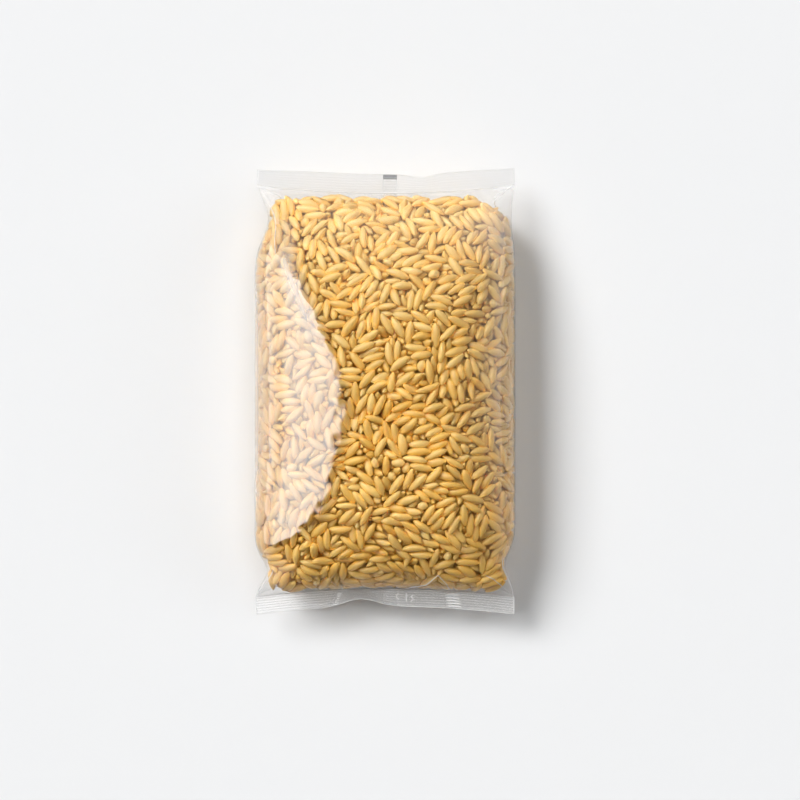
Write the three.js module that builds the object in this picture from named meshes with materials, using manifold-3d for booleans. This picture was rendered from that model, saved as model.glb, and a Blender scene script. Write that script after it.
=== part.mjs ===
// A clear film bag full of orzo, a small grain-shaped pasta. The bag has a crimped seal across each
// end, a gusset down each side and a seam down the middle of its back, and it lies on its back.
// Millimetres. +X points to the bag's right edge, +Y to its top end and +Z up out of its front.
// The origin is on the ground under the middle of the bag.
import * as THREE from "three";
import { mergeVertices } from "three/addons/utils/BufferGeometryUtils.js";
import Module from "manifold-3d";

// The filled body.
const THICKNESS = 45; // from the ground to the crown of the front
const BODY_HALF_WIDTH = 52.3; // at the bulge of the side gussets
const SIDE_HEIGHT = 17; // height at which the gussets bulge most
const BODY_HALF_LENGTH = 82.8; // middle of the bag to a seal's inner line, at the seal's corners
const SHOULDER_POWER_TOP = 2.2; // how late the front starts to fall towards the top end
const SHOULDER_POWER_BOTTOM = 2.5; // the orzo has settled there, so that end is blunter
const SHOULDER_ROUNDNESS = 0.56;
const FRONT_POWER = 2.3; // how square the front's arch is at mid length
const FRONT_POWER_GAIN = 0.7; // how much squarer it is at the ends
const FLAT_SHARE_ACROSS = 0.7; // the share of the back that lies flat on the ground
const FLAT_SHARE_ALONG = 0.72;
const BACK_RISE_POWER = 2.2; // how the back lifts from its flat part to the seals

// The end seals.
const SEAL_THICKNESS = 0.6;
const SEAL_HEIGHT = 15;
const SEAL_BOW = 3.2; // the middle of a seal lies this much nearer to the bag than its corners do
const RIDGES = 7; // crimp ridges across each seal
const RIDGE_HEIGHT = 0.24;

// How deep each seal is, how many degrees it droops, and where its free edge comes out shorter.
const TOP_SEAL = {
  depth: 8.3,
  droop: 18,
  dips: [
    { place: -51, spread: 12, shorter: 1.0 },
    { place: 14.5, spread: 6, shorter: 1.7 },
    { place: 51, spread: 10, shorter: 1.6 },
  ],
};
const BOTTOM_SEAL = {
  depth: 7.6,
  droop: 20,
  dips: [{ place: -10, spread: 9, shorter: 3.4 }],
};

// Each side draws in just before the seals, where the gusset folds inwards between front and back.
// The draw is in millimetres, and the place and spread are shares of the body's half length.
const DRAWN_IN = [
  { side: -1, end: 1, draw: 5.0, place: 0.83, spread: 0.13 },
  { side: 1, end: 1, draw: 1.2, place: 0.83, spread: 0.13 },
  { side: -1, end: -1, draw: 4.5, place: 0.87, spread: 0.08 },
  { side: 1, end: -1, draw: 3.6, place: 0.84, spread: 0.09 },
];
const GUSSET_FOLD_DEPTH = 8;
const GUSSET_FOLD_START = 0.7;
const GUSSET_FOLD_FULL = 0.94;
const GUSSET_FOLD_LIP = 0.13; // the sine of the ring angle at the fold's two lips

// The seam down the back, a folded strip of film.
const SEAM_WIDTH = 5.6;
const SEAM_OFFSET = 2; // its middle lies this far to the right of the bag's
const SEAM_THICKNESS = 0.35;
const SEAM_ROOT = 0.3; // how far its inner side reaches into the bag
const SEAM_SINK_HEIGHT = 0.8; // below this height the orzo's weight presses it flush

// How finely the surface is divided.
const RING_STEPS = 60;
const RING_CROWDING = 0.6; // how much closer the points lie at the sides than at front and back
const BODY_STEPS = 34;

const smooth = THREE.MathUtils.smoothstep;
const mix = THREE.MathUtils.lerp;

// Half the width of the body on one side, at a share of the half length from -1 (bottom) to 1 (top).
function halfWidth(side, along) {
  let width = BODY_HALF_WIDTH;
  for (const pinch of DRAWN_IN) {
    if (pinch.side !== side) continue;
    const away = (along * pinch.end - pinch.place) / pinch.spread;
    width -= pinch.draw * Math.exp(-away * away);
  }
  return width;
}

// Distance from the middle of the bag to the seal's inner line, at a share across from -1 to 1.
function sealLine(across) {
  return BODY_HALF_LENGTH - SEAL_BOW * (1 - across * across);
}

function crownHeight(along) {
  const base = SEAL_HEIGHT + SEAL_THICKNESS / 2;
  const power = along > 0 ? SHOULDER_POWER_TOP : SHOULDER_POWER_BOTTOM;
  const fall = Math.max(0, 1 - Math.abs(along) ** power);
  return base + (THICKNESS - base) * fall ** SHOULDER_ROUNDNESS;
}

function backHeight(along) {
  const past = Math.max(0, Math.abs(along) - FLAT_SHARE_ALONG) / (1 - FLAT_SHARE_ALONG);
  return (SEAL_HEIGHT - SEAL_THICKNESS / 2) * past ** BACK_RISE_POWER;
}

// How far a side is folded inwards: only near the ends, and not in the seal itself.
function foldDepth(angle, along) {
  const reach = Math.abs(along);
  const opening = smooth(reach, GUSSET_FOLD_START, GUSSET_FOLD_FULL);
  const closing = 1 - smooth(reach, GUSSET_FOLD_FULL, 1);
  const nearness = Math.max(0, 1 - Math.abs(Math.sin(angle)) / GUSSET_FOLD_LIP);
  return GUSSET_FOLD_DEPTH * opening * closing * nearness * nearness;
}

// A point of the body. The ring angle runs round the section: 0 right side, 90 degrees front.
function bodyPoint(angle, along) {
  const across = Math.cos(angle);
  const side = across < 0 ? -1 : 1;
  const reach = Math.min(1, Math.abs(across));
  const middle = mix(SIDE_HEIGHT, SEAL_HEIGHT, along * along);
  let height;
  if (Math.sin(angle) >= 0) {
    const power = FRONT_POWER + FRONT_POWER_GAIN * along * along;
    height = middle + (crownHeight(along) - middle) * (1 - reach ** power) ** (1 / power);
  } else {
    const past = Math.max(0, reach - FLAT_SHARE_ACROSS) / (1 - FLAT_SHARE_ACROSS);
    const back = backHeight(along);
    height = back + (middle - back) * (1 - Math.sqrt(Math.max(0, 1 - past * past)));
  }
  const x = side * (reach * halfWidth(side, along) - foldDepth(angle, along));
  return new THREE.Vector3(x, along * sealLine(across), height);
}

// A point of the seal at one end (1 top, -1 bottom), out from its inner line by a share of its depth.
function sealPoint(angle, end, outward) {
  const across = Math.cos(angle);
  const face = Math.abs(across) > 1 - 1e-6 ? 0 : Math.sign(Math.sin(angle));
  const x = across * halfWidth(across < 0 ? -1 : 1, end);
  const seal = end > 0 ? TOP_SEAL : BOTTOM_SEAL;
  let depth = seal.depth;
  for (const dip of seal.dips) {
    const away = (x - dip.place) / dip.spread;
    depth -= dip.shorter * Math.exp(-away * away);
  }
  const droop = THREE.MathUtils.degToRad(seal.droop);
  const ridge = (RIDGE_HEIGHT / 2) * (1 - Math.cos(2 * Math.PI * RIDGES * outward));
  const lift = ridge + (face * SEAL_THICKNESS) / 2;
  const y = sealLine(across) + outward * depth * Math.cos(droop) + lift * Math.sin(droop);
  const z = SEAL_HEIGHT - outward * depth * Math.sin(droop) + lift * Math.cos(droop);
  return new THREE.Vector3(x, end * y, z);
}

// The stations along the bag, from the free edge of the top seal to that of the bottom one.
function stations() {
  const list = [];
  const sealSteps = RIDGES * 2;
  for (let i = sealSteps; i > 0; i--) {
    list.push({ end: 1, outward: i / sealSteps });
  }
  for (let i = 0; i <= BODY_STEPS; i++) {
    list.push({ along: Math.cos((Math.PI * i) / BODY_STEPS) });
  }
  for (let i = 1; i <= sealSteps; i++) {
    list.push({ end: -1, outward: i / sealSteps });
  }
  return list;
}

// The ring angle of a step, with the steps crowded towards the two sides.
function ringAngle(step) {
  const even = (-2 * Math.PI * step) / RING_STEPS;
  return even - (RING_CROWDING / 2) * Math.sin(2 * even);
}

function pointAt(station, angle) {
  if (station.end) return sealPoint(angle, station.end, station.outward);
  return bodyPoint(angle, station.along);
}

// The bag without its seam: a closed cylinder whose rings become the stations' sections.
function filledBag() {
  const list = stations();
  const last = list.length - 1;
  const geometry = new THREE.CylinderGeometry(1, 1, 1, RING_STEPS, last);
  const position = geometry.attributes.position;
  for (let i = 0; i < position.count; i++) {
    const station = list[Math.round((0.5 - position.getY(i)) * last)];
    const x = position.getX(i);
    const z = position.getZ(i);
    const onAxis = Math.hypot(x, z) < 0.5;
    const step = Math.round((Math.atan2(x, z) / (2 * Math.PI)) * RING_STEPS);
    const point = onAxis
      ? pointAt(station, Math.PI / 2).add(pointAt(station, -Math.PI / 2)).multiplyScalar(0.5)
      : pointAt(station, ringAngle(step));
    position.setXYZ(i, point.x, point.y, point.z);
  }
  return geometry;
}

// The seam strip, from the free edge of one seal along the back to that of the other.
function backSeam() {
  const low = [];
  const high = [];
  for (const station of stations()) {
    const { y, z } = pointAt(station, -Math.PI / 2);
    const proud = SEAM_THICKNESS * smooth(z, 0, SEAM_SINK_HEIGHT);
    low.push(new THREE.Vector2(y, z - proud));
    high.push(new THREE.Vector2(y, z + SEAM_ROOT));
  }
  const shape = new THREE.Shape([...low, ...high.reverse()]);
  const geometry = new THREE.ExtrudeGeometry(shape, { depth: SEAM_WIDTH, bevelEnabled: false });
  // The shape lies in the plane of length and height, and its depth runs across the bag.
  const turn = new THREE.Matrix4().makeBasis(
    new THREE.Vector3(0, 1, 0),
    new THREE.Vector3(0, 0, 1),
    new THREE.Vector3(1, 0, 0),
  );
  geometry.applyMatrix4(turn);
  geometry.translate(SEAM_OFFSET - SEAM_WIDTH / 2, 0, 0);
  return geometry;
}

const wasm = await Module();
wasm.setup();

function toSolid(geometry) {
  const bare = geometry.clone();
  bare.deleteAttribute("normal");
  bare.deleteAttribute("uv");
  const merged = mergeVertices(bare, 1e-4);
  const mesh = new wasm.Mesh({
    numProp: 3,
    vertProperties: merged.attributes.position.array,
    triVerts: new Uint32Array(merged.index.array),
  });
  return new wasm.Manifold(mesh);
}

function toGeometry(solid) {
  const mesh = solid.getMesh();
  const geometry = new THREE.BufferGeometry();
  geometry.setAttribute("position", new THREE.BufferAttribute(mesh.vertProperties, 3));
  geometry.setIndex(new THREE.BufferAttribute(mesh.triVerts, 1));
  geometry.computeVertexNormals();
  return geometry;
}

const strawYellow = new THREE.MeshStandardMaterial({
  color: 0xd6a45f,
  roughness: 0.35,
  metalness: 0,
});

const sealedBag = new THREE.Mesh(
  toGeometry(toSolid(filledBag()).add(toSolid(backSeam()))),
  strawYellow,
);
sealedBag.name = "sealed_bag";

const bag = new THREE.Group();
bag.add(sealedBag);

export default bag;
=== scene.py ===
"""A clear film bag of orzo on its back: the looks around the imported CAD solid.

Lengths are in metres. +X is the bag's right edge, +Y its top end and +Z up out of its front.
The CAD solid, sealed_bag, is replaced by its film, its back seam and the orzo inside.
"""
import math

import bpy
import numpy as np
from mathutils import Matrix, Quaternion, Vector
from mathutils.bvhtree import BVHTree


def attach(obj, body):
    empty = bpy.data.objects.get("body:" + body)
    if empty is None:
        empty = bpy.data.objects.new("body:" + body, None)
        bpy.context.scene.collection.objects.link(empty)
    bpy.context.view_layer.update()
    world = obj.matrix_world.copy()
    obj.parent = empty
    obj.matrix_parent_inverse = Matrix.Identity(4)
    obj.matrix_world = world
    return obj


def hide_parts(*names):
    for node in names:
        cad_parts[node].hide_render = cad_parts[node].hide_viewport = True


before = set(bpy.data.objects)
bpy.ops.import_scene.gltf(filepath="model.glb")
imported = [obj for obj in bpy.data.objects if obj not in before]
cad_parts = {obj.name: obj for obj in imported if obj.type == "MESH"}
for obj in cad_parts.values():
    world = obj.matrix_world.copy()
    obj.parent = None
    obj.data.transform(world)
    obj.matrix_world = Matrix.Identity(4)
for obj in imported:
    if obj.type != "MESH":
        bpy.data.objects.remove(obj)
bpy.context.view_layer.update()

MM = 0.001

# ------------------------ the bag's shape, as in its CAD solid but for thinner seals
THICKNESS = 45 * MM
BODY_HALF_WIDTH = 52.3 * MM
SIDE_HEIGHT = 17 * MM  # where the sides bulge most
BODY_HALF_LENGTH = 82.8 * MM  # to the seals' inner lines, at their corners
SHOULDER_POWER_TOP = 2.2  # how late the front starts to fall towards each end
SHOULDER_POWER_BOTTOM = 2.5
SHOULDER_ROUNDNESS = 0.56
FRONT_POWER = 2.3  # how square the front's arch is at mid length, and how much more so at the ends
FRONT_POWER_GAIN = 0.7
FLAT_SHARE_ACROSS = 0.7  # of the back, which lies flat
FLAT_SHARE_ALONG = 0.72
BACK_RISE_POWER = 2.2

SEAL_THICKNESS = 0.2 * MM  # two layers of film, welded
SEAL_HEIGHT = 15 * MM
SEAL_BOW = 3.2 * MM  # how much nearer its middle lies than its corners
RIDGES = 7
RIDGE_HEIGHT = 0.02 * MM

# Each seal, by its end: its depth, how many degrees it droops, and where its free edge comes out
# shorter, as (place across, spread, change of depth).
SEALS = {
    1: (
        8.1 * MM,
        18,
        [(-51 * MM, 14 * MM, -1.4 * MM), (14.5 * MM, 6 * MM, -1.7 * MM), (51 * MM, 10 * MM, -0.7 * MM)],
    ),
    -1: (7.6 * MM, 20, [(-10 * MM, 9 * MM, -3.4 * MM)]),
}

# Where each side draws in before the seals: side, end, draw, place and spread along the half length.
DRAWN_IN = [
    (-1, 1, 5.0 * MM, 0.83, 0.13),
    (1, 1, 1.2 * MM, 0.83, 0.13),
    (-1, -1, 4.5 * MM, 0.87, 0.08),
    (1, -1, 3.6 * MM, 0.84, 0.09),
]
GUSSET_FOLD_DEPTH = 8 * MM
GUSSET_FOLD_START = 0.7
GUSSET_FOLD_FULL = 0.94
GUSSET_FOLD_LIP = 0.13

RING_STEPS = 260
RING_CROWDING = 0.6
BODY_STEPS = 260
SEAL_STEPS = RIDGES * 6


def smoothstep(x, low, high):
    t = np.clip((x - low) / (high - low), 0, 1)
    return t * t * (3 - 2 * t)


def half_width(side, along):
    """Half the body's width on one side, at a share of the half length from -1 (bottom) to 1 (top)."""
    width = np.full(np.shape(along), BODY_HALF_WIDTH)
    for pinch_side, end, draw, place, spread in DRAWN_IN:
        away = (along * end - place) / spread
        width = width - np.where(side == pinch_side, draw * np.exp(-away * away), 0)
    return width


def seal_line(across):
    """Distance from the bag's middle to a seal's inner line, at a share across from -1 to 1."""
    return BODY_HALF_LENGTH - SEAL_BOW * (1 - across * across)


def crown_height(along):
    base = SEAL_HEIGHT + SEAL_THICKNESS / 2
    power = np.where(along > 0, SHOULDER_POWER_TOP, SHOULDER_POWER_BOTTOM)
    fall = np.maximum(0, 1 - np.abs(along) ** power)
    return base + (THICKNESS - base) * fall**SHOULDER_ROUNDNESS


def back_height(along):
    past = np.maximum(0, np.abs(along) - FLAT_SHARE_ALONG) / (1 - FLAT_SHARE_ALONG)
    return (SEAL_HEIGHT - SEAL_THICKNESS / 2) * past**BACK_RISE_POWER


def fold_depth(angle, along):
    """How far a side is folded inwards between front and back, near the ends."""
    reach = np.abs(along)
    opening = smoothstep(reach, GUSSET_FOLD_START, GUSSET_FOLD_FULL)
    closing = 1 - smoothstep(reach, GUSSET_FOLD_FULL, 1)
    nearness = np.maximum(0, 1 - np.abs(np.sin(angle)) / GUSSET_FOLD_LIP)
    return GUSSET_FOLD_DEPTH * opening * closing * nearness**2


def body_points(angle, along):
    """Points of the body. The ring angle runs round the section: 0 right side, a quarter turn front."""
    across = np.cos(angle)
    side = np.where(across < 0, -1, 1)
    reach = np.minimum(1, np.abs(across))
    middle = SIDE_HEIGHT + (SEAL_HEIGHT - SIDE_HEIGHT) * along**2
    power = FRONT_POWER + FRONT_POWER_GAIN * along**2
    front = middle + (crown_height(along) - middle) * (1 - reach**power) ** (1 / power)
    past = np.maximum(0, reach - FLAT_SHARE_ACROSS) / (1 - FLAT_SHARE_ACROSS)
    floor = back_height(along)
    back = floor + (middle - floor) * (1 - np.sqrt(np.maximum(0, 1 - past**2)))
    height = np.where(np.sin(angle) >= 0, front, back)
    x = side * (reach * half_width(side, along) - fold_depth(angle, along))
    return np.stack([x, along * seal_line(across), height], -1)


def seal_points(angle, end, outward):
    """Points of the seal at one end, out from its inner line by a share of its depth."""
    across = np.cos(angle)
    side = np.where(across < 0, -1, 1)
    face = np.where(np.abs(across) > 1 - 1e-6, 0, np.sign(np.sin(angle)))
    x = across * half_width(side, end)
    depth, degrees, cuts = SEALS[end]
    for place, spread, change in cuts:
        depth = depth + change * np.exp(-(((x - place) / spread) ** 2))
    droop = math.radians(degrees)
    lift = RIDGE_HEIGHT * (1 - np.cos(2 * np.pi * RIDGES * outward)) + face * SEAL_THICKNESS / 2
    y = seal_line(across) + outward * depth * math.cos(droop) + lift * math.sin(droop)
    z = SEAL_HEIGHT - outward * depth * math.sin(droop) + lift * math.cos(droop)
    return np.stack(np.broadcast_arrays(x, end * y, z), -1)


def film_points(angle, station, lift=None):
    """Points of the film, lifted off it. Stations within 1 are on the body, and those beyond on a seal."""
    angle, station = np.broadcast_arrays(angle, station)
    reach = np.abs(station)
    on_seal = np.where(
        station[..., None] > 0,
        seal_points(angle, 1, np.maximum(0, reach - 1)),
        seal_points(angle, -1, np.maximum(0, reach - 1)),
    )
    points = np.where(reach[..., None] > 1, on_seal, body_points(angle, np.clip(station, -1, 1)))
    if lift is None:
        return points
    step = 1e-4
    round_it = film_points(angle + step, station) - film_points(angle - step, station)
    along_it = film_points(angle, station + step) - film_points(angle, station - step)
    normal = np.cross(along_it, round_it)
    return points + normal / np.maximum(np.linalg.norm(normal, axis=-1, keepdims=True), 1e-12) * lift


def ring_angles(steps):
    even = 2 * np.pi * np.arange(steps) / steps
    return even - RING_CROWDING / 2 * np.sin(2 * even)


# ------------------------ meshes
def new_object(mesh, material, smooth=True):
    obj = bpy.data.objects.new(mesh.name, mesh)
    bpy.context.scene.collection.objects.link(obj)
    mesh.materials.append(material)
    if smooth:
        mesh.polygons.foreach_set("use_smooth", np.ones(len(mesh.polygons), bool))
    return obj


def mesh_from(name, points, faces):
    """A mesh of points (n, 3) and a list of faces."""
    mesh = bpy.data.meshes.new(name)
    mesh.from_pydata([tuple(p) for p in points], [], faces)
    mesh.validate()
    mesh.update()
    return mesh


def loft_faces(stations, ring):
    """Quads between neighbouring rings, facing out, for rings that run right, front, left, back."""
    faces = []
    for s in range(stations - 1):
        for k in range(ring):
            a, b = s * ring + k, s * ring + (k + 1) % ring
            faces.append((a, b, b + ring, a + ring))
    return faces


def cap_faces(first, ring, flip):
    """Closes a flat section whose front and back points lie over each other."""
    faces = []
    for k in range(ring // 2):
        front = [first + k, first + k + 1]
        back = [first + (ring - k - 1) % ring, first + (ring - k) % ring]
        corners = list(dict.fromkeys(front + back))
        faces.append(tuple(reversed(corners)) if flip else tuple(corners))
    return faces


def film_body(ring_steps, body_steps):
    """The body's points and faces alone, for measuring depth inside it."""
    along = np.cos(np.pi * np.arange(body_steps + 1) / body_steps)
    rings = body_points(ring_angles(ring_steps)[None, :], along[:, None])
    return rings.reshape(-1, 3), loft_faces(len(rings), ring_steps)


# The film's relief. Near the seals it is pleated, and elsewhere it swells a little. Each wave over it
# is given in radians for each unit across and along.
PLEAT_HEIGHT = 0.2 * MM
PLEAT_REACH = 0.05  # of the half length, from each seal
PLEAT_START = 0.01  # they rise from the seals over this share
PLEATS = 11
PLEAT_DRIFT = (2, 3)  # how uneven their spacing is, and how fast that changes
SWELL_HEIGHT = 0.06 * MM
SWELL_WAVES = [(9, 4), (3, 7)]
RELIEF_FULL = 0.3  # the sine of the ring angle from which the front has its full relief
CLING_GAP = 0.25 * MM  # film this close to a grain counts as touching it
CLING_REACH = 1.3 * MM
CLING_DEPTH = 0.08 * MM

# In all that follows a pair of places is where a look starts and where it is full.
# Painted reflection: the film's reflectance is set by place, to show reflections where they fall. On the
# front's left it shines more, past an edge with its apex at (across, -station). It runs
# out from there by so much across for each unit along: upwards, downwards, and more past a corner.
VEIL_APEX = (0.29, 0.07)
VEIL_SLOPES = (0.62, 0.38, 2.4)
VEIL_CORNER = 0.63
VEIL_EDGE = (-0.1, -0.02)  # across, out from the edge
VEIL_INNER = (-0.78, -0.7)  # across: its part towards the middle shines most
VEIL_INNER_SHIFT = 0.08  # that part reaches further out lower down
VEIL_INNER_LOW = (0.2, 0.6)
FRONT_END = (0.78, 0.9)  # the share of the half length where the front passes into its two ends

# The share of light that the film reflects straight on, painted by place to shape its reflections: more
# in the veil, on the right and on the bottom seal, and less low on the front.
BODY_SHINE = 0.05
BOTTOM_SEAL_SHINE = 0.07
LOW_SHINE_LOSS = 0.047  # the front's lower part shines less, except in the veil
LOW_PART = (0.1, 0.35)
VEIL_SHINE = 0.11
VEIL_INNER_SHINE = 0.09  # on top of that
# painted highlights on the grains' tops, where the film touches them
VEIL_TOUCH_SHINE = 0.065  # and where the film touches the orzo
RIGHT_SHINE = 0.08
RIGHT_PART = (0.4, 0.7)

# How milky the film is: the share of it that is matt, and how light that share is. In places below that
# matt share is painted light.
TOP_SEAL_HAZE = 0.08
BOTTOM_SEAL_HAZE = 0.06
# Partly the crimped film's milkiness, partly painted light: more matt white towards the bottom seal's
# right lightens it over the shadow, and on its ridges' crests it stands in for their glints.
SEAL_RIGHT_HAZE_AND_LIGHT = 0.06  # more towards the bottom seal's right
CREST_HAZE_AND_GLINT = 0.08  # and on the crests of its ridges there
SEAL_RIGHT_PART = (-0.6, 0.5)
NEAR_SEAL_HAZE = (0.12, 0.06)  # on the body next to the top and the bottom seal
NEAR_SEAL_REACH = 0.03
# Corners lightened with painted light, laid on as matt white: haze, side, its places across, end, its
# places along.
PAINTED_LIGHT_CORNERS = [
    (0.2, 1, (0.66, 0.9), 1, (0.5, 0.8)),
    (0.12, -1, (0.85, 0.97), 1, (0.8, 0.92)),
    (0.14, -1, (0.7, 0.88), -1, (0.76, 0.88)),
]
# Painted reflection down the front's left side: matt white laid on where its steep film reflects the pale
# floor and horizon.
LEFT_GLARES = [(0.18, (142, 156)), (0.16, (156, 174))]  # each with its places, in degrees round the ring
LEFT_GLARE_FADE = (172, 205)
LEFT_GLARE_END = (0.3, 0.85)
# Painted highlight: a band of matt white along the veil's upper edge, where a crease catches the light.
BAND_HIGHLIGHT = 0.3  # along the veil's upper edge
BAND_PLACE = 0.04  # across, out from the edge
BAND_WIDTH = 0.05
BAND_LOW_END = (0.15, 0.4)
BAND_HIGH_END = (0.62, 0.75)
HAZE_TONE = 0.93
# Painted shade: the top seal's matt share is dark grey, to take off the light it faces.
TOP_SEAL_SHADED_TONE = 0.35


def veil_edge(station):
    """How far left the edge of the veil lies."""
    past = station + VEIL_APEX[1]
    upwards, downwards, corner = VEIL_SLOPES
    edge = VEIL_APEX[0] + upwards * np.maximum(past, 0) - downwards * np.minimum(past, 0)
    return edge - corner * np.minimum(station + VEIL_CORNER, 0)


def film_shine(angle, station, touch):
    """The share of light that the film reflects straight on, painted by place to shape its reflections. In
    the veil it is more where the film touches the orzo, as painted highlights on the grains' tops."""
    across = np.cos(angle)
    reach = np.abs(station)
    middle = 1 - smoothstep(reach, *FRONT_END)
    veil = smoothstep(-across - veil_edge(station), *VEIL_EDGE) * middle
    inner_place = across + VEIL_INNER_SHIFT * smoothstep(-station, *VEIL_INNER_LOW)
    inner = smoothstep(inner_place, *VEIL_INNER)
    shine = BODY_SHINE - LOW_SHINE_LOSS * smoothstep(-station, *LOW_PART) * (1 - veil)
    shine = shine + veil * (VEIL_SHINE + VEIL_INNER_SHINE * inner + VEIL_TOUCH_SHINE * touch)
    shine = shine + RIGHT_SHINE * smoothstep(across, *RIGHT_PART) * middle
    elsewhere = np.where(station < -1, BOTTOM_SEAL_SHINE, BODY_SHINE)
    return np.where((np.sin(angle) > -1e-6) & (reach < 1), shine, elsewhere)


# The seals' milkiness, with painted light laid on towards the bottom seal's right and on its ridges'
# crests.
def seal_haze_and_glare(across, station):
    crest = (1 - np.cos(2 * np.pi * RIDGES * (np.abs(station) - 1))) / 2
    rightness = smoothstep(across, *SEAL_RIGHT_PART)
    bottom = BOTTOM_SEAL_HAZE + (SEAL_RIGHT_HAZE_AND_LIGHT + CREST_HAZE_AND_GLINT * crest) * rightness
    return np.where(station > 0, TOP_SEAL_HAZE, bottom)


def body_haze_and_glare(angle, station):
    """How milky the body's film is next to the seals, with painted light laid on as matt white in
    corners, down the left side and along the veil's upper edge."""
    across = np.cos(angle)
    reach = np.abs(station)
    haze_and_glare = np.where(station > 0, *NEAR_SEAL_HAZE) * np.exp(-(1 - reach) / NEAR_SEAL_REACH)
    for amount, side, places_across, end, places_along in PAINTED_LIGHT_CORNERS:
        corner = smoothstep(side * across, *places_across) * smoothstep(end * station, *places_along)
        haze_and_glare = haze_and_glare + amount * corner
    away = (-across - veil_edge(station) - BAND_PLACE) / BAND_WIDTH
    band = BAND_HIGHLIGHT * np.exp(-away * away) * smoothstep(station, *BAND_LOW_END)
    haze_and_glare = haze_and_glare + band * (1 - smoothstep(station, *BAND_HIGH_END))
    degrees = np.degrees(angle) % 360
    left = sum(amount * smoothstep(degrees, *places) for amount, places in LEFT_GLARES)
    left = left * (1 - smoothstep(degrees, *LEFT_GLARE_FADE)) * (1 - smoothstep(reach, *LEFT_GLARE_END))
    return np.where(np.sin(angle) > -1e-6, haze_and_glare, 0) + left


def film_look(angle, station, touch):
    """(matt share, shine, tone of the matt share) of the film at each point. The matt share is milkiness
    with painted light laid on, and the shine is painted by place.
    """
    on_seal = np.abs(station) > 1
    haze_and_glare = np.where(on_seal, seal_haze_and_glare(np.cos(angle), station), body_haze_and_glare(angle, station))
    return haze_and_glare, film_shine(angle, station, touch), np.where(station > 1, TOP_SEAL_SHADED_TONE, HAZE_TONE)


def film_stations():
    """The stations of the film's sections, from the free edge of the top seal to that of the bottom."""
    seal = np.arange(1, SEAL_STEPS + 1) / SEAL_STEPS
    body = np.cos(np.pi * np.arange(BODY_STEPS + 1) / BODY_STEPS)
    return np.concatenate([1 + seal[::-1], body, -1 - seal])


def closeness(grains, points):
    """How closely a mesh of grains comes to each of these points, from 1 touching it to 0."""
    tree = BVHTree.FromPolygons([v.co for v in grains.vertices], [p.vertices for p in grains.polygons])
    gaps = []
    for point in points:
        away = tree.find_nearest(Vector(point), CLING_REACH)[3]
        gaps.append(CLING_REACH if away is None else away)
    return 1 - smoothstep(np.array(gaps), CLING_GAP, CLING_REACH)


def film_mesh(grains):
    """The whole film: both seals and the body, one closed surface with its look at each point. It sinks
    a little between the grains under it."""
    angle = ring_angles(RING_STEPS)[None, :]
    station = film_stations()[:, None]
    reach = np.abs(station)
    near_seal = np.exp(-(1 - reach) / PLEAT_REACH) * smoothstep(1 - reach, 0, PLEAT_START)
    across = np.cos(angle)
    drift = PLEAT_DRIFT[0] * np.sin(PLEAT_DRIFT[1] * across)
    pleats = np.sin(PLEATS * np.pi * across + drift + station) ** 4
    swell = 1
    for wave_across, wave_along in SWELL_WAVES:
        swell = swell * np.sin(wave_across * across + wave_along * station)
    swell = (swell + 1) * (1 - reach**8)
    lift = np.where(reach < 1, PLEAT_HEIGHT * near_seal * pleats + SWELL_HEIGHT * swell, 0)
    front = smoothstep(np.sin(angle), 0, RELIEF_FULL)
    smooth_points = film_points(angle, station)
    touch = closeness(grains, smooth_points.reshape(-1, 3)).reshape(lift.shape)
    lift = lift - np.where(reach < 1, CLING_DEPTH * (1 - touch), 0)
    points = film_points(angle, station, (lift * front)[..., None])
    count = len(station)
    faces = loft_faces(count, RING_STEPS)
    faces += cap_faces(0, RING_STEPS, True)
    faces += cap_faces((count - 1) * RING_STEPS, RING_STEPS, False)
    mesh = mesh_from("film", points.reshape(-1, 3), faces)
    look = film_look(*np.broadcast_arrays(angle, station, touch))
    colour = np.ones((len(points.reshape(-1, 3)), 4), np.float32)
    for channel, values in enumerate(look):
        colour[:, channel] = values.ravel()
    mesh.color_attributes.new("look", "FLOAT_COLOR", "POINT").data.foreach_set("color", colour.ravel())
    return mesh


def slab_mesh(name, inner, outer):
    """A thin closed slab between two grids of points (rows, columns, 3)."""
    rows, columns = inner.shape[:2]
    total = rows * columns
    faces = []
    for r in range(rows - 1):
        for c in range(columns - 1):
            a = r * columns + c
            corners = (a, a + 1, a + columns + 1, a + columns)
            faces.append(corners)
            faces.append(tuple(total + i for i in reversed(corners)))
    rim = list(range(columns)) + [r * columns + columns - 1 for r in range(1, rows)]
    rim += [(rows - 1) * columns + c for c in range(columns - 2, -1, -1)]
    rim += [r * columns for r in range(rows - 2, 0, -1)]
    for a, b in zip(rim, rim[1:] + rim[:1]):
        faces.append((b, a, total + a, total + b))
    return mesh_from(name, np.concatenate([inner.reshape(-1, 3), outer.reshape(-1, 3)]), faces)


# The seam down the back, and the grey marks printed on its two ends for the packing machine.
SEAM_HALF_WIDTH = 2.8 * MM
SEAM_OFFSET = 2 * MM
SEAM_GAP = 0.02 * MM
SEAM_THICKNESS = 0.1 * MM
SEAM_COLUMNS = 7
SEAM_REACH = 0.9995  # it ends this share of the way to the film's own ends
TOP_MARK = (1.74, 1.99)  # stations where each mark starts and ends
BOTTOM_MARK = (-1.86, -1.99)
MARK_STEPS = 12


def back_grid(stations, lift):
    """A grid of points as wide as the seam, behind the film."""
    x = SEAM_OFFSET + SEAM_HALF_WIDTH * np.linspace(-1, 1, SEAM_COLUMNS)
    station = np.asarray(stations)[:, None]
    angle = -np.arccos(x[None, :] / half_width(1, np.clip(station, -1, 1)))
    return film_points(angle, station, lift)


def seam_mesh():
    stations = film_stations() * SEAM_REACH
    outer = back_grid(stations, SEAM_GAP + SEAM_THICKNESS)
    return slab_mesh("back_seam", back_grid(stations, SEAM_GAP), outer)


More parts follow.
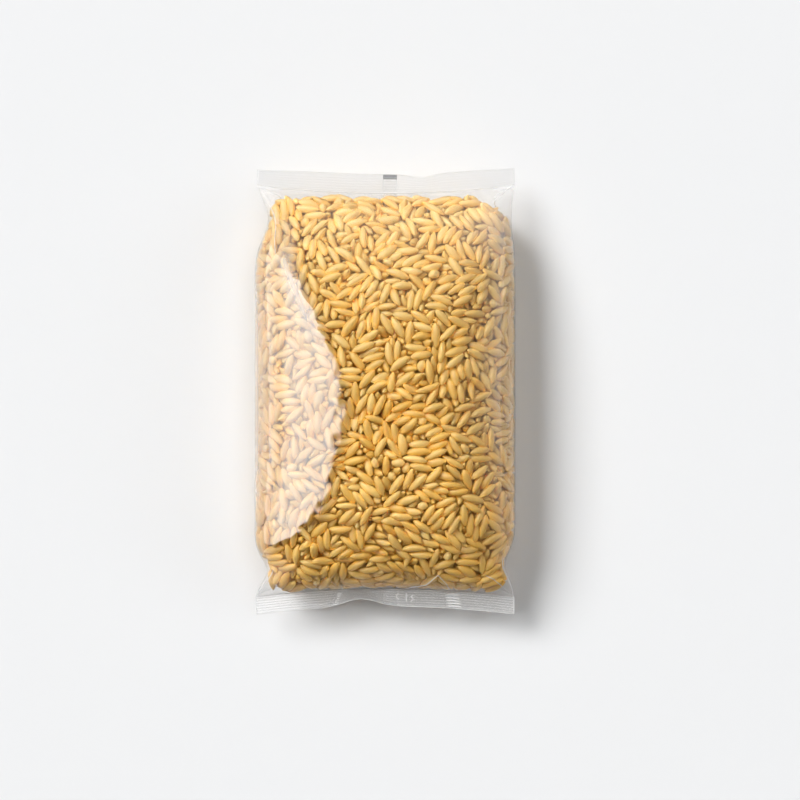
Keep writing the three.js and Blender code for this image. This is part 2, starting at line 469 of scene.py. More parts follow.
def mark_mesh(name, ends):
    stations = np.linspace(*ends, MARK_STEPS)
    low = 2 * SEAM_GAP + SEAM_THICKNESS
    return slab_mesh(name, back_grid(stations, low), back_grid(stations, low + SEAM_GAP))


# Painted highlights: thin matt white tubes laid on the film along lines where it is folded and would
# catch the light. The places each runs through, as (share across, station).
FOLD_RADIUS = 0.13 * MM
FOLDS = [
    [(0.979, -1.0), (0.95, -0.975), (0.854, -0.916), (0.8, -0.9)],
    [(0.985, -1.0), (0.975, -0.9), (0.954, -0.798)],
    [(0.99, -1.0), (0.888, -0.97)],
    [(0.116, -1.0), (0.317, -0.97), (0.418, -0.915), (0.47, -0.955), (0.508, -1.0)],
    [(-0.95, 0.9), (-0.89, 0.74), (-0.84, 0.66)],
    [(0.98, 1.0), (0.9, 0.955), (0.82, 0.915)],
    [(-0.985, -1.0), (-0.97, -0.95), (-0.93, -0.86)],
    [(-0.6, -1.62), (-0.43, -1.62)],
    [(-0.57, -1.8), (-0.45, -1.8)],
]
# The seals' outlines get painted highlights too: the stations of their inner and free edges, the share
# across to which those run, and that of the side edges.
OUTLINE_STATIONS = (1.005, 1.99)
OUTLINE_ACROSS = 0.99
OUTLINE_SIDE = 0.992
# Painted glints on the bottom seal, where its crimp ridges catch the light: blocks of strokes, as (from,
# to across, first and last station, number, lean), and single strokes.
GLINT_BLOCKS = [(0.455, 0.575, -1.08, -1.86, 6, 0.02), (-0.372, -0.33, -1.25, -1.95, 7, -0.035)]
GLINT_STROKES = [
    [(0.11, -1.25), (0.09, -1.35), (0.09, -1.5), (0.11, -1.62)],
    [(0.165, -1.2), (0.165, -1.7)],
    [(0.15, -1.36), (0.185, -1.36)],
    [(0.22, -1.3), (0.2, -1.42), (0.22, -1.56), (0.2, -1.7)],
]
GLINT_RADIUS = 0.3 * MM
LINE_STEP = 0.012
LINE_SIDES = 6
LINE_TIP = 0.1  # a line's share of its radius at its tips, and how much it gains at each next point
LINE_TAPER = 0.5


def line_points(places, lift):
    """Points of the front of the film, close together along a line through these places."""
    sampled = [np.array(places[:1])]
    for start, end in zip(places, places[1:]):
        steps = max(1, math.ceil(math.dist(start, end) / LINE_STEP))
        share = np.arange(1, steps + 1)[:, None] / steps
        sampled.append(np.array(start) * (1 - share) + np.array(end) * share)
    across, station = np.concatenate(sampled).T
    angle = np.arccos(np.clip(across, -1, 1))
    return film_points(angle, station, lift)


def tube_into(points, radius, all_points, all_faces):
    """Adds a thin tube along points, tapered at both ends."""
    along = np.gradient(points, axis=0)
    along /= np.linalg.norm(along, axis=-1, keepdims=True)
    aside = np.cross(along, [0, 0, 1])
    aside /= np.maximum(np.linalg.norm(aside, axis=-1, keepdims=True), 1e-9)
    up = np.cross(aside, along)
    base = sum(len(p) for p in all_points)
    turn = 2 * np.pi * np.arange(LINE_SIDES) / LINE_SIDES
    ring = np.cos(turn)[None, :, None] * aside[:, None] + np.sin(turn)[None, :, None] * up[:, None]
    from_start = np.arange(len(points))
    from_end = from_start[::-1]
    thick = radius * np.minimum(1, np.minimum(from_start, from_end) * LINE_TAPER + LINE_TIP)
    skin = points[:, None] + ring * thick[:, None, None]
    all_points.append(skin.reshape(-1, 3))
    for s in range(len(points) - 1):
        for k in range(LINE_SIDES):
            a, b = base + s * LINE_SIDES + k, base + s * LINE_SIDES + (k + 1) % LINE_SIDES
            all_faces.append((a, a + LINE_SIDES, b + LINE_SIDES, b))
    last = base + (len(points) - 1) * LINE_SIDES
    all_faces.append(tuple(base + k for k in range(LINE_SIDES)))
    all_faces.append(tuple(last + k for k in reversed(range(LINE_SIDES))))


def fold_highlights_mesh():
    """Painted highlights along the folds and the welded seals' outlines."""
    points, faces = [], []
    lines = list(FOLDS)
    for end in (1, -1):
        for station in OUTLINE_STATIONS:
            lines.append([(-OUTLINE_ACROSS, end * station), (OUTLINE_ACROSS, end * station)])
        for side in (-OUTLINE_SIDE, OUTLINE_SIDE):
            lines.append([(side, end), (side, end * OUTLINE_STATIONS[1])])
    for line in lines:
        tube_into(line_points(line, FOLD_RADIUS / 2), FOLD_RADIUS, points, faces)
    return mesh_from("painted_fold_highlights", np.concatenate(points), faces)


def glints_mesh():
    """Painted glints: short white strokes where the bottom seal's crimp ridges catch the light."""
    points, faces = [], []
    lines = list(GLINT_STROKES)
    for start, end, first, last, count, lean in GLINT_BLOCKS:
        for share in np.linspace(0, 1, count):
            station = first + (last - first) * share
            lines.append([(start + lean * share, station), (end + lean * share, station)])
    for line in lines:
        tube_into(line_points(line, 0.0), GLINT_RADIUS, points, faces)
    return mesh_from("painted_crimp_glints", np.concatenate(points), faces)


# ------------------------ the orzo
GRAIN_LENGTH = 9.5 * MM
GRAIN_RADIUS = 1.7 * MM
LENGTH_SPREAD = 0.06
RADIUS_SPREAD = 0.05
SPREAD_LIMIT = 2  # standard deviations
TIP_BLUNTNESS = 0.26  # a grain's outline is a slim one and this share of a blunt one, by their powers
SLIM_POWER = 0.77
BLUNT_POWER = 8
BALL_PLACES = np.array([-0.76, -0.4, 0.0, 0.4, 0.76])  # along a grain, for contacts
BROKEN_SHARE = 0.03
BROKEN_LENGTH = (0.35, 0.6)
FILL_DEPTH = 8.5 * MM  # real grains down to this depth, and a core below
FILL_SHARE = 0.57  # of that space, taken by grains
CORE_DEPTH = 9.5 * MM
CORE_MARGIN = np.array([6.5, 9.0, 6.5]) * MM
CORE_LOW = 0.5 * MM
FILM_GAP = 0.12 * MM
# The orzo hasn't reached into the two top corners: (a point on its edge, the way out of it), in x and y.
EMPTY_CORNERS = [
    ((38.0 * MM, 77.0 * MM), (0.54, 0.84)),
    ((-45.0 * MM, 75.4 * MM), (-0.68, 0.73)),
]
ORZO_TOP = 78.3 * MM
TOP_WAVES = [(0.6 * MM, 27 * MM), (0.5 * MM, 11 * MM)]  # how uneven its top edge is: height and length
FIELD_STEP = 1.6 * MM
FIELD_SECTIONS = (120, 110)  # points round the body and steps along it, where it is measured
SETTLE_TURNS = 260
PAIR_MARGIN = 1.0 * MM
PAIR_TURNS = 8
PULL = 0.2 * MM
PULL_SHARE = 0.7  # of the turns, that pull the grains out to the film
FLATTEN = 0.03  # how fast grains near the film lie down against it
FLATTEN_DEPTH = 3.6 * MM
UPRIGHT_SHARE = 0.12  # of the grains, that don't
OVERSTEP = 1.6  # each step is this many times as far as its contacts ask
WALL_WEIGHT = 3.0
LONGEST_STEP = 0.9 * MM
LARGEST_TURN = 0.3
INERTIA = 0.35  # of a contact, which holds each grain back
STRAY = 0.5 * MM  # grains that end up further than this through the film are left out
SEED = 7


def grain_profile(t):
    """A grain's radius at a share of its half length, as a share of its largest radius."""
    t = np.clip(np.abs(t), 0, 1)
    slim = (1 - t**2) ** SLIM_POWER
    blunt = np.sqrt(1 - t**BLUNT_POWER)
    return (1 - TIP_BLUNTNESS) * slim + TIP_BLUNTNESS * blunt


class Field:
    """Signed distance to the film on a grid: below zero inside."""

    def __init__(self, points, faces, step):
        tree = BVHTree.FromPolygons([Vector(p) for p in points], faces)
        self.step = step
        self.low = points.min(0) - 2 * step
        counts = np.ceil((points.max(0) + 2 * step - self.low) / step).astype(int) + 1
        grid = np.stack(np.meshgrid(*[np.arange(n) for n in counts], indexing="ij"), -1)
        places = self.low + grid.reshape(-1, 3) * step
        values = np.empty(len(places))
        for i, place in enumerate(places):
            p = Vector(place)
            where, normal, _, away = tree.find_nearest(p)
            values[i] = -away if (p - where).dot(normal) < 0 else away
        for place, way_out in EMPTY_CORNERS:
            beyond = places[:, :2] - np.array(place)
            values = np.maximum(values, beyond @ np.array(way_out))
        top = ORZO_TOP
        for height, length in TOP_WAVES:
            top = top + height * np.sin(2 * np.pi * places[:, 0] / length)
        values = np.maximum(values, places[:, 1] - top)
        self.values = values.reshape(counts)
        slopes = np.gradient(self.values, step)
        self.layers = np.stack([self.values, *slopes], -1)

    def at(self, points):
        """(distance, outward unit direction) at points (n, 3)."""
        g = (points - self.low) / self.step
        base = np.clip(np.floor(g).astype(int), 0, np.array(self.values.shape) - 2)
        f = np.clip(g - base, 0, 1)
        out = 0
        for corner in np.ndindex(2, 2, 2):
            c = np.array(corner)
            weight = np.prod(np.where(c, f, 1 - f), -1)
            i, j, k = (base + c).T
            out = out + weight[:, None] * self.layers[i, j, k]
        slope = out[:, 1:]
        size = np.linalg.norm(slope, axis=-1, keepdims=True)
        return out[:, 0], slope / np.maximum(size, 1e-9)


def near_pairs(points, reach):
    """Pairs of points closer than reach, found through a grid of cells."""
    cell = np.floor((points - points.min(0)) / reach).astype(np.int64) + 1
    span = cell.max(0) + 2
    key = (cell[:, 0] * span[1] + cell[:, 1]) * span[2] + cell[:, 2]
    order = np.argsort(key, kind="stable")
    ordered = key[order]
    found = []
    for dx, dy, dz in np.ndindex(3, 3, 3):
        shift = ((dx - 1) * span[1] + dy - 1) * span[2] + dz - 1
        if shift < 0:
            continue
        start = np.searchsorted(ordered, key + shift, "left")
        count = np.searchsorted(ordered, key + shift, "right") - start
        first = np.repeat(np.arange(len(points)), count)
        within = np.arange(count.sum()) - np.repeat(np.cumsum(count) - count, count)
        second = order[np.repeat(start, count) + within]
        keep = first < second if shift == 0 else np.ones(len(first), bool)
        first, second = first[keep], second[keep]
        close = np.sum((points[first] - points[second]) ** 2, -1) < reach**2
        found.append((first[close], second[close]))
    return np.concatenate([a for a, _ in found]), np.concatenate([b for _, b in found])


def core_mesh():
    """The orzo too deep to be seen, as one solid: the body, drawn in towards its middle."""
    points, faces = film_body(*FIELD_SECTIONS)
    middle = np.array([0, 0, THICKNESS / 2 - CORE_LOW])
    share = 1 - CORE_MARGIN / np.array([BODY_HALF_WIDTH, BODY_HALF_LENGTH, THICKNESS / 2])
    return mesh_from("orzo_core", middle + (points - middle) * share, faces)


def strewn_grains(field):
    """Grains strewn through the space they fill: centres, directions, half lengths, radii, and how
    fast each lies down against the film."""
    rng = np.random.default_rng(SEED)
    inside = np.argwhere((field.values < -GRAIN_RADIUS) & (field.values > -FILL_DEPTH))
    t = np.linspace(-1, 1, 201)
    grain_volume = math.pi * GRAIN_RADIUS**2 * GRAIN_LENGTH / 2 * np.trapz(grain_profile(t) ** 2, t)
    space = np.sum((field.values < 0) & (field.values > -FILL_DEPTH)) * field.step**3
    count = int(FILL_SHARE * space / grain_volume)
    chosen = inside[rng.integers(len(inside), size=count)]
    centre = field.low + (chosen + rng.random((count, 3)) - 0.5) * field.step
    direction = rng.standard_normal((count, 3))
    direction /= np.linalg.norm(direction, axis=-1, keepdims=True)
    longer = rng.standard_normal(count).clip(-SPREAD_LIMIT, SPREAD_LIMIT)
    half = GRAIN_LENGTH / 2 * (1 + LENGTH_SPREAD * longer)
    thicker = rng.standard_normal(count).clip(-SPREAD_LIMIT, SPREAD_LIMIT)
    radius = GRAIN_RADIUS * (1 + RADIUS_SPREAD * thicker)
    broken = rng.random(count) < BROKEN_SHARE
    half = np.where(broken, half * rng.uniform(*BROKEN_LENGTH, count), half)
    flatten = np.where(rng.random(count) < UPRIGHT_SHARE, 0, FLATTEN)
    return centre, direction, half, radius, flatten


def ball_steps(grain, arm, move, weight, half):
    """How far each grain steps and turns, to do best by the moves that its balls ask for. Each move
    has its grain, its place along that grain and its weight."""
    count = len(half)

    def total(values):
        return np.stack([np.bincount(grain, values[:, k], count) for k in range(3)], -1)

    hits = np.bincount(grain, weight, count) + INERTIA
    arms = np.bincount(grain, weight * arm, count)
    squares = np.bincount(grain, weight * arm**2, count) + INERTIA * (half / 2) ** 2
    move = move * weight[:, None]
    shift = total(move)
    twist = total(move * arm[:, None])
    det = (hits * squares - arms**2)[:, None] / OVERSTEP
    step = (squares[:, None] * shift - arms[:, None] * twist) / det
    turned = (hits[:, None] * twist - arms[:, None] * shift) / det
    length = np.linalg.norm(step, axis=-1, keepdims=True)
    step = step * np.minimum(1, LONGEST_STEP / np.maximum(length, 1e-9))
    return step, np.clip(turned, -LARGEST_TURN, LARGEST_TURN)


def settled_grains(field):
    """Grains packed against the film: centres, directions, half lengths and radii. For its contacts
    each grain is a row of balls, which push each other apart and stay between the film and the core."""
    centre, direction, half, radius, flatten = strewn_grains(field)
    offset = half[:, None] * BALL_PLACES
    ball_radius = (radius[:, None] * grain_profile(BALL_PLACES)).ravel()
    owner = np.repeat(np.arange(len(centre)), len(BALL_PLACES))
    lever = offset.ravel()
    for turn in range(SETTLE_TURNS):
        progress = turn / SETTLE_TURNS
        pull = PULL * max(0.0, 1 - progress / PULL_SHARE)
        away, out = field.at(centre)
        centre = centre + out * pull
        rise = np.sum(direction * out, -1) * flatten * (away > -FLATTEN_DEPTH)
        direction = direction - out * rise[:, None]
        ball = (centre[:, None] + offset[..., None] * direction[:, None]).reshape(-1, 3)
        if turn % PAIR_TURNS == 0:
            a, b = near_pairs(ball, 2 * radius.max() + PAIR_MARGIN)
            other = owner[a] != owner[b]
            a, b = a[other], b[other]
        apart = ball[a] - ball[b]
        gap = np.linalg.norm(apart, axis=-1)
        depth = ball_radius[a] + ball_radius[b] - gap
        hit = depth > 0
        push = apart[hit] / np.maximum(gap[hit], 1e-9)[:, None] * depth[hit, None] / 2
        away, out = field.at(ball)
        excess = np.maximum(away + ball_radius + FILM_GAP, 0) + np.minimum(away + CORE_DEPTH, 0)
        wall = np.nonzero(excess)[0]
        index = np.concatenate([a[hit], b[hit], wall])
        move = np.concatenate([push, -push, -out[wall] * excess[wall, None]])
        weight = np.concatenate([np.ones(2 * len(push)), np.full(len(wall), WALL_WEIGHT)])
        step, turned = ball_steps(owner[index], lever[index], move, weight, half)
        centre = centre + step
        direction = direction + turned
        direction /= np.linalg.norm(direction, axis=-1, keepdims=True)
    ball = (centre[:, None] + offset[..., None] * direction[:, None]).reshape(-1, 3)
    through = (field.at(ball)[0] + ball_radius).reshape(len(centre), -1).max(1)
    kept = through < STRAY
    return centre[kept], direction[kept], half[kept], radius[kept]


TIP_CROWDING = 0.35  # how much closer a grain's rings lie near its tips
LAST_RING = 0.955  # the place of the outermost ones, of the half length
BEND = 0.05  # standard deviations of a grain's bend, flatness and skew, the first of its half length
FLATNESS = 0.05
SKEW = 0.06
BEND_CROSSING = 0.4  # the square of the place where a bent grain crosses its straight axis


def grain_template(around, rings):
    """(places along from -1 to 1, angles round, faces) of one grain with a point at each tip."""
    edge = np.linspace(-1, 1, rings + 2)[1:-1]
    along = np.sin(edge * np.pi / 2) * TIP_CROWDING + edge * (1 - TIP_CROWDING)
    along = along / along.max() * LAST_RING
    angle = 2 * np.pi * np.arange(around) / around
    first, last = rings * around, rings * around + 1
    faces = loft_faces(rings, around)
    for k in range(around):
        faces.append((first, (k + 1) % around, k))
        base = (rings - 1) * around
        faces.append((last, base + k, base + (k + 1) % around))
    return along, angle, faces


def grain_points(centre, direction, half, radius, along, angle):
    """Points of these grains, as (grain, point, xyz), with the two tips last. Each grain is a little
    bent, flattened and skewed."""
    count = len(centre)
    rng = np.random.default_rng(count)
    helper = np.where(np.abs(direction[:, 2:]) < 0.9, [[0, 0, 1]], [[1, 0, 0]])
    u = np.cross(direction, helper)
    u /= np.linalg.norm(u, axis=-1, keepdims=True)
    v = np.cross(direction, u)
    bend = BEND * half * rng.standard_normal(count)
    flat = 1 + FLATNESS * rng.standard_normal(count)
    skew = SKEW * rng.standard_normal(count)
    t = np.repeat(along, len(angle))
    phi = np.tile(angle, len(along))
    r = grain_profile(t)[None] * radius[:, None] * (1 + skew[:, None] * t)
    across = r * np.cos(phi) * flat[:, None] + bend[:, None] * (BEND_CROSSING - t**2)
    deep = r * np.sin(phi) / flat[:, None]
    skin = (
        centre[:, None]
        + direction[:, None] * (half[:, None] * t)[..., None]
        + u[:, None] * across[..., None]
        + v[:, None] * deep[..., None]
    )
    tip = u * (bend * (BEND_CROSSING - 1))[:, None]
    reach = direction * half[:, None]
    tips = np.stack([centre - reach + tip, centre + reach + tip], 1)
    return np.concatenate([skin, tips], 1)


def copies_mesh(name, points, faces):
    """One mesh of many copies of the same faces, each over its own row of points."""
    count, stride = points.shape[:2]
    corners = np.concatenate([np.array(f) for f in faces])
    sizes = np.array([len(f) for f in faces])
    all_corners = (corners[None] + stride * np.arange(count)[:, None]).ravel()
    all_sizes = np.tile(sizes, count)
    mesh = bpy.data.meshes.new(name)
    mesh.vertices.add(count * stride)
    mesh.vertices.foreach_set("co", points.astype(np.float32).ravel())
    mesh.loops.add(len(all_corners))
    mesh.loops.foreach_set("vertex_index", all_corners.astype(np.int32))
    mesh.polygons.add(len(all_sizes))
    mesh.polygons.foreach_set("loop_start", (np.cumsum(all_sizes) - all_sizes).astype(np.int32))
    mesh.update(calc_edges=True)
    mesh.validate()
    return mesh


def grains_mesh(name, field, centre, direction, half, radius, tone, around, rings):
    """All these grains as one mesh, kept inside the film, with a tone for each in the colour attribute."""
    along, angle, faces = grain_template(around, rings)
    points = grain_points(centre, direction, half, radius, along, angle)
    beyond, out = field.at(points.reshape(-1, 3))
    press = np.clip(beyond + FILM_GAP, 0, STRAY)
    points = points - (out * press[:, None]).reshape(points.shape)
    mesh = copies_mesh(name, points, faces)
    colour = np.ones((*points.shape[:2], 4), np.float32)
    colour[..., 0] = tone[:, None]
    attribute = mesh.color_attributes.new("tone", "FLOAT_COLOR", "POINT")
    attribute.data.foreach_set("color", colour.ravel())
    return mesh


# ------------------------ materials
DEEP_ORZO = (0.755, 0.442, 0.078, 1)
PALE_ORZO = (0.8, 0.55, 0.178, 1)
ORZO_ROUGHNESS = 0.42
ORZO_SPECULAR = 0.5
ORZO_GLOW = 0.8  # the share of light that passes through a grain's skin, how far, and in what colour
ORZO_GLOW_REACH = 3.5 * MM
ORZO_GLOW_COLOUR = (1.0, 0.72, 0.38)
CLEAR_FILM = (0.99, 0.99, 0.99, 1)
FILM_ROUGHNESS = 0.05
# the matt share's colour on the seam, and on the painted fold highlights and crimp glints
MATT_WHITE_FILM = (0.93, 0.93, 0.93, 1)
SEAL_SHINE = 0.05  # the share of light that film reflects straight on, unless its look says it
EDGE_SHINE = 0.95  # the share at a grazing angle
EDGE_POWER = 3.5
PRINT_GREY = (0.3, 0.3, 0.3, 1)
PRINT_ROUGHNESS = 0.5
FLOOR_GREY = (0.855, 0.862, 0.87, 1)


def new_material(name, kind):
    """A material and its last shader node, which is of this kind."""
    material = bpy.data.materials.new(name)
    material.use_nodes = True
    nodes = material.node_tree.nodes
    nodes.clear()
    shader = nodes.new(kind)
    material.node_tree.links.new(shader.outputs[0], nodes.new("ShaderNodeOutputMaterial").inputs[0])
    return material, shader


def orzo_material(name):
    """Orzo: a little light passes through its skin, and each grain's tone is in the mesh."""
    material, shader = new_material(name, "ShaderNodeBsdfPrincipled")
    nodes, links = material.node_tree.nodes, material.node_tree.links
    tone = nodes.new("ShaderNodeVertexColor")
    tone.layer_name = "tone"
    split = nodes.new("ShaderNodeSeparateColor")
    links.new(tone.outputs[0], split.inputs[0])
    ramp = nodes.new("ShaderNodeValToRGB")
    ramp.color_ramp.elements[0].color = DEEP_ORZO
    ramp.color_ramp.elements[1].color = PALE_ORZO
    links.new(split.outputs[0], ramp.inputs[0])
    links.new(ramp.outputs[0], shader.inputs["Base Color"])
    shader.inputs["Roughness"].default_value = ORZO_ROUGHNESS
    shader.inputs["Specular IOR Level"].default_value = ORZO_SPECULAR
    shader.subsurface_method = "BURLEY"
    shader.inputs["Subsurface Weight"].default_value = ORZO_GLOW
    shader.inputs["Subsurface Radius"].default_value = ORZO_GLOW_COLOUR
    shader.inputs["Subsurface Scale"].default_value = ORZO_GLOW_REACH
    return material


def film_material(name, haze_and_glare=None):
    """Clear glossy film with a matt white share: the film's own milkiness, and painted light where the
    pieces or the look attribute put it. That share is a number, or else it and the shine are the mesh's
    look attribute.
    """
    material, matt_mix = new_material(name, "ShaderNodeMixShader")
    nodes, links = material.node_tree.nodes, material.node_tree.links
    clear = nodes.new("ShaderNodeBsdfTransparent")
    clear.inputs[0].default_value = CLEAR_FILM
    gloss = nodes.new("ShaderNodeBsdfGlossy")
    gloss.inputs["Roughness"].default_value = FILM_ROUGHNESS
    facing = nodes.new("ShaderNodeLayerWeight")
    facing.inputs["Blend"].default_value = 0.5
    power = nodes.new("ShaderNodeMath")
    power.operation = "POWER"
    power.inputs[1].default_value = EDGE_POWER
    links.new(facing.outputs["Facing"], power.inputs[0])
    share = nodes.new("ShaderNodeMapRange")
    share.inputs["To Min"].default_value = SEAL_SHINE
    share.inputs["To Max"].default_value = EDGE_SHINE
    links.new(power.outputs[0], share.inputs["Value"])
    film = nodes.new("ShaderNodeMixShader")
    links.new(share.outputs[0], film.inputs[0])
    links.new(clear.outputs[0], film.inputs[1])
    links.new(gloss.outputs[0], film.inputs[2])
    matt_white = nodes.new("ShaderNodeBsdfDiffuse")
    matt_white.inputs[0].default_value = MATT_WHITE_FILM
    if haze_and_glare is None:
        attribute = nodes.new("ShaderNodeVertexColor")
        attribute.layer_name = "look"
        split = nodes.new("ShaderNodeSeparateColor")
        links.new(attribute.outputs[0], split.inputs[0])
        links.new(split.outputs[0], matt_mix.inputs[0])
        links.new(split.outputs[1], share.inputs["To Min"])
        links.new(split.outputs[2], matt_white.inputs[0])
    else:
        matt_mix.inputs[0].default_value = haze_and_glare
    links.new(film.outputs[0], matt_mix.inputs[1])
    links.new(matt_white.outputs[0], matt_mix.inputs[2])
    return material


def print_material():
    material, shader = new_material("grey_print", "ShaderNodeBsdfPrincipled")
    shader.inputs["Base Color"].default_value = PRINT_GREY
    shader.inputs["Roughness"].default_value = PRINT_ROUGHNESS
    return material


def floor_material():
    material, shader = new_material("floor", "ShaderNodeBsdfDiffuse")
    shader.inputs[0].default_value = FLOOR_GREY
    return material


# ------------------------ camera, floor and light
PHOTO_SIZE = 800  # pixels, both ways
PHOTO_BAG_CENTRE = (385, 391)  # where the bag's middle is in the photo
METRES_PER_PIXEL = 0.402 * MM  # at the height of the seals
CAMERA_HEIGHT = 1.2
SENSOR_WIDTH = 36  # millimetres, as the lens is
FLOOR_HALF = 3.0
FLOOR_GAP = 0.3 * MM  # below the bag, for the seam under it


def make_camera():
    data = bpy.data.cameras.new("camera")
    camera = bpy.data.objects.new("camera", data)
    bpy.context.scene.collection.objects.link(camera)
    data.sensor_width = SENSOR_WIDTH
    data.lens = data.sensor_width * (CAMERA_HEIGHT - SEAL_HEIGHT) / (PHOTO_SIZE * METRES_PER_PIXEL)
    middle = PHOTO_SIZE / 2
    camera.location = (
        (middle - PHOTO_BAG_CENTRE[0]) * METRES_PER_PIXEL,
        (PHOTO_BAG_CENTRE[1] - middle) * METRES_PER_PIXEL,
        CAMERA_HEIGHT,
    )
    bpy.context.scene.camera = camera


def make_floor():
    half = FLOOR_HALF
    corners = [(-half, -half, 0), (half, -half, 0), (half, half, 0), (-half, half, 0)]
    floor = new_object(mesh_from("floor", corners, [(0, 1, 2, 3)]), floor_material(), False)
    floor.location.z = -FLOOR_GAP


LIGHT_DISTANCE = 24.0


def add_light(name, data, facing, offset=(0, 0), roll=0):
    """Puts a light on a plane that faces the bag, 1 light distance away in the direction facing, given
    as (degrees off vertical, compass side) with 0 the bag's right and 90 its top. The offset is on
    that plane, first towards the zenith and then sideways, in light distances."""
    light = bpy.data.objects.new(name, data)
    bpy.context.scene.collection.objects.link(light)
    tilt, side = (math.radians(angle) for angle in facing)
    away = Vector((math.sin(tilt) * math.cos(side), math.sin(tilt) * math.sin(side), math.cos(tilt)))
    turned = away.to_track_quat("Z", "Y")
    place = away + turned @ Vector((offset[1], offset[0], 0))
    light.location = place * LIGHT_DISTANCE
    light.rotation_euler = (turned @ Quaternion((0, 0, 1), math.radians(roll))).to_euler()
    return light


def make_soft_box(name, facing, radius, radiance):
    """A round light on all that is matt. Its radius is the angle it spans to each side."""
    data = bpy.data.lights.new(name, "AREA")
    data.shape = "DISK"
    reach = LIGHT_DISTANCE * math.tan(math.radians(radius))
    data.size = 2 * reach
    data.energy = radiance * math.pi * math.pi * reach**2
    light = add_light(name, data, facing)
    light.visible_glossy = False
    return light


def make_sheen(name, facing, radius, radiance, receivers):
    """A round light that is only seen as a highlight on these pieces, and not on the film round them."""
    light = make_soft_box(name, facing, radius, radiance)
    light.visible_glossy = True
    light.visible_diffuse = False
    light.light_linking.receiver_collection = receivers


def make_panel(
    name, facing, offset, half, radiance, roll=0, roundness=2.0, softness=1.0, fade=(0, 0, 1)
):
    """A soft-edged panel that only shows in glossy surfaces. half is its reach towards the zenith and
    sideways, in light distances. Its roundness is 1 for a diamond, 2 for an ellipse and more for a
    rounded rectangle. The fade is (from, to, share): below the place from, 0 to 1 towards the zenith,
    only a share of it shines."""
    data = bpy.data.lights.new(name, "AREA")
    data.shape = "RECTANGLE"
    data.size = 2 * half[1] * LIGHT_DISTANCE
    data.size_y = 2 * half[0] * LIGHT_DISTANCE
    data.energy = radiance * math.pi * data.size * data.size_y
    data.use_nodes = True
    nodes, links = data.node_tree.nodes, data.node_tree.links

    def number(operation, first, second):
        node = nodes.new("ShaderNodeMath")
        node.operation = operation
        for socket, value in zip(node.inputs, (first, second)):
            if isinstance(value, (int, float)):
                socket.default_value = value
            else:
                links.new(value, socket)
        return node.outputs[0]

    split = nodes.new("ShaderNodeSeparateXYZ")
    links.new(nodes.new("ShaderNodeNewGeometry").outputs["Parametric"], split.inputs[0])
    powers = []
    for place in split.outputs[:2]:
        from_middle = number("ABSOLUTE", number("SUBTRACT", number("MULTIPLY", place, 2.0), 1.0), 0.0)
        powers.append(number("POWER", from_middle, roundness))
    radius = number("POWER", number("ADD", *powers), 1 / roundness)
    edge = nodes.new("ShaderNodeMapRange")
    edge.interpolation_type = "SMOOTHSTEP"
    edge.inputs["From Min"].default_value = 1
    edge.inputs["From Max"].default_value = 1 - softness
    links.new(radius, edge.inputs["Value"])
    dimming = nodes.new("ShaderNodeMapRange")
    dimming.interpolation_type = "SMOOTHSTEP"
    for socket, value in zip(("From Min", "From Max", "To Min"), fade):
        dimming.inputs[socket].default_value = value
    links.new(split.outputs[1], dimming.inputs["Value"])
    strength = number("MULTIPLY", edge.outputs[0], dimming.outputs[0])
    links.new(strength, nodes["Emission"].inputs["Strength"])
    light = add_light(name, data, facing, offset, roll)
    light.visible_diffuse = False


HORIZON_LIGHT = (0.9, 0.9, 0.9, 1)
ZENITH_LIGHT = (0.02, 0.02, 0.02, 1)
ZENITH_PLACE = 0.6  # how far up the light has faded to that of the zenith
WORLD_UP = (0, -0.25, 1)  # the way towards the dark part of the sky


def make_world():
    """A pale horizon and a dark sky, which only show in glossy surfaces."""
    world = bpy.data.worlds.new("studio")
    bpy.context.scene.world = world
    world.use_nodes = True
    nodes, links = world.node_tree.nodes, world.node_tree.links
    nodes.clear()
    place = nodes.new("ShaderNodeTexCoord")
    height = nodes.new("ShaderNodeVectorMath")
    height.operation = "DOT_PRODUCT"
    height.inputs[1].default_value = WORLD_UP
    links.new(place.outputs["Generated"], height.inputs[0])
    ramp = nodes.new("ShaderNodeValToRGB")
    ramp.color_ramp.elements[0].position = 0
    ramp.color_ramp.elements[0].color = HORIZON_LIGHT
    ramp.color_ramp.elements[1].position = ZENITH_PLACE
    ramp.color_ramp.elements[1].color = ZENITH_LIGHT
    links.new(height.outputs["Value"], ramp.inputs[0])
    background = nodes.new("ShaderNodeBackground")
    links.new(ramp.outputs[0], background.inputs[0])
    output = nodes.new("ShaderNodeOutputWorld")
    links.new(background.outputs[0], output.inputs[0])
    world.cycles_visibility.diffuse = False


make_camera()
make_floor()
make_soft_box("key", (47.5, 139), radius=14, radiance=18.4)
make_soft_box("overhead", (15, 45), radius=17, radiance=3.0)
make_soft_box("side", (60, 5), radius=14, radiance=2.4)
make_panel(
    "left_panel",
    (45, 180),
    offset=(-2.36, -0.55),
    half=(3.0, 0.7),
    roll=-16.6,
    roundness=3.55,
    softness=0.03,
    radiance=2.05,
    fade=(0.83, 0.87, 0.62),
)
make_panel("right_panel", (45, 0), offset=(-0.87, 0), half=(1.4, 1.6), radiance=0.6)
make_panel("top_panel", (45, 90), offset=(-0.3, 0), half=(1.1, 1.5), radiance=1.4)
make_panel("bottom_panel", (40, 270), offset=(0, 0), half=(0.22, 0.2), softness=0.5, radiance=2.4)
make_world()
scene = bpy.context.scene
scene.view_settings.view_transform = "Standard"
scene.cycles.transparent_max_bounces = 24

# ------------------------ the pieces
OUTER_DEPTH = 1.9 * GRAIN_RADIUS  # a grain whose middle is less deep than this counts as outer
BACK_SLOPE = -0.2  # and faces the back where the film's normal points further down than this
TONE_SEED = 3
TONE_MIDDLE = 0.5  # a grain's tone runs from 0, deep, to 1, pale
TONE_SPREAD = 0.2
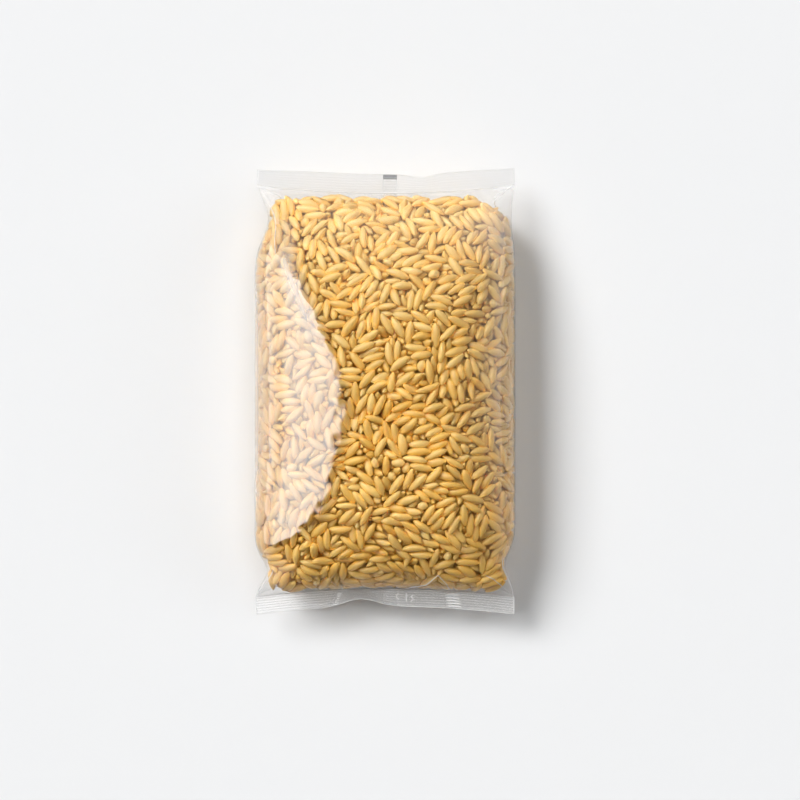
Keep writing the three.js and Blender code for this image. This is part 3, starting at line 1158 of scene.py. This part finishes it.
# Painted light: the grains are paler towards the top end and deeper towards the bottom, as more light
# falls on the top.
PAINTED_LIGHT_TO_TOP = 0.3  # how much paler the grains are at the top end than in the middle
BROKEN_HALF = 0.32 * GRAIN_LENGTH  # shorter half lengths than this are broken grains, which look pale
# The grains' pieces: how many points round a grain, and how many rings along it.
FRONT_DETAIL = (10, 8)
BACK_DETAIL = (8, 6)
INSIDE_DETAIL = (6, 5)
SEAM_HAZE = 0.04
# matt white share of the painted fold highlights
FOLD_HIGHLIGHT_WHITE = 0.75
# matt white share of the painted crimp glints
GLINT_WHITE = 0.92

core = new_object(core_mesh(), orzo_material("orzo_core"))
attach(core, "root")

measured = Field(*film_body(*FIELD_SECTIONS), FIELD_STEP)
centre, direction, half, radius = settled_grains(measured)
away, outward = measured.at(centre)
outer = away > -OUTER_DEPTH
upper = outward[:, 2] > BACK_SLOPE
orzo = orzo_material("orzo")
orzo_pieces = bpy.data.collections.new("orzo_pieces")
rng = np.random.default_rng(TONE_SEED)
tone = TONE_MIDDLE + TONE_SPREAD * rng.standard_normal(len(centre))
# painted light: paler towards the top end, deeper towards the bottom
tone = np.clip(tone + PAINTED_LIGHT_TO_TOP * centre[:, 1] / BODY_HALF_LENGTH, 0, 1)
tone = np.where(half < BROKEN_HALF, 1, tone)
for name, chosen, around, rings in [
    ("orzo_front", outer & upper, *FRONT_DETAIL),
    ("orzo_back", outer & ~upper, *BACK_DETAIL),
    ("orzo_inside", ~outer, *INSIDE_DETAIL),
]:
    parts = [values[chosen] for values in (centre, direction, half, radius, tone)]
    mesh = grains_mesh(name, measured, *parts, around, rings)
    grains = new_object(mesh, orzo)
    orzo_pieces.objects.link(grains)
    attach(grains, "root")

make_sheen("orzo_sheen", (44, 125), radius=20, radiance=10.0, receivers=orzo_pieces)

film = new_object(film_mesh(bpy.data.meshes["orzo_front"]), film_material("film"))
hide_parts("sealed_bag")
clear_pieces = [
    film,
    new_object(seam_mesh(), film_material("seam_film", SEAM_HAZE), False),
    new_object(fold_highlights_mesh(), film_material("fold_highlight_film", FOLD_HIGHLIGHT_WHITE)),
    new_object(glints_mesh(), film_material("glint_film", GLINT_WHITE)),
    new_object(mark_mesh("top_mark", TOP_MARK), print_material(), False),
    new_object(mark_mesh("bottom_mark", BOTTOM_MARK), print_material(), False),
]
for piece in clear_pieces:
    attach(piece, "root")
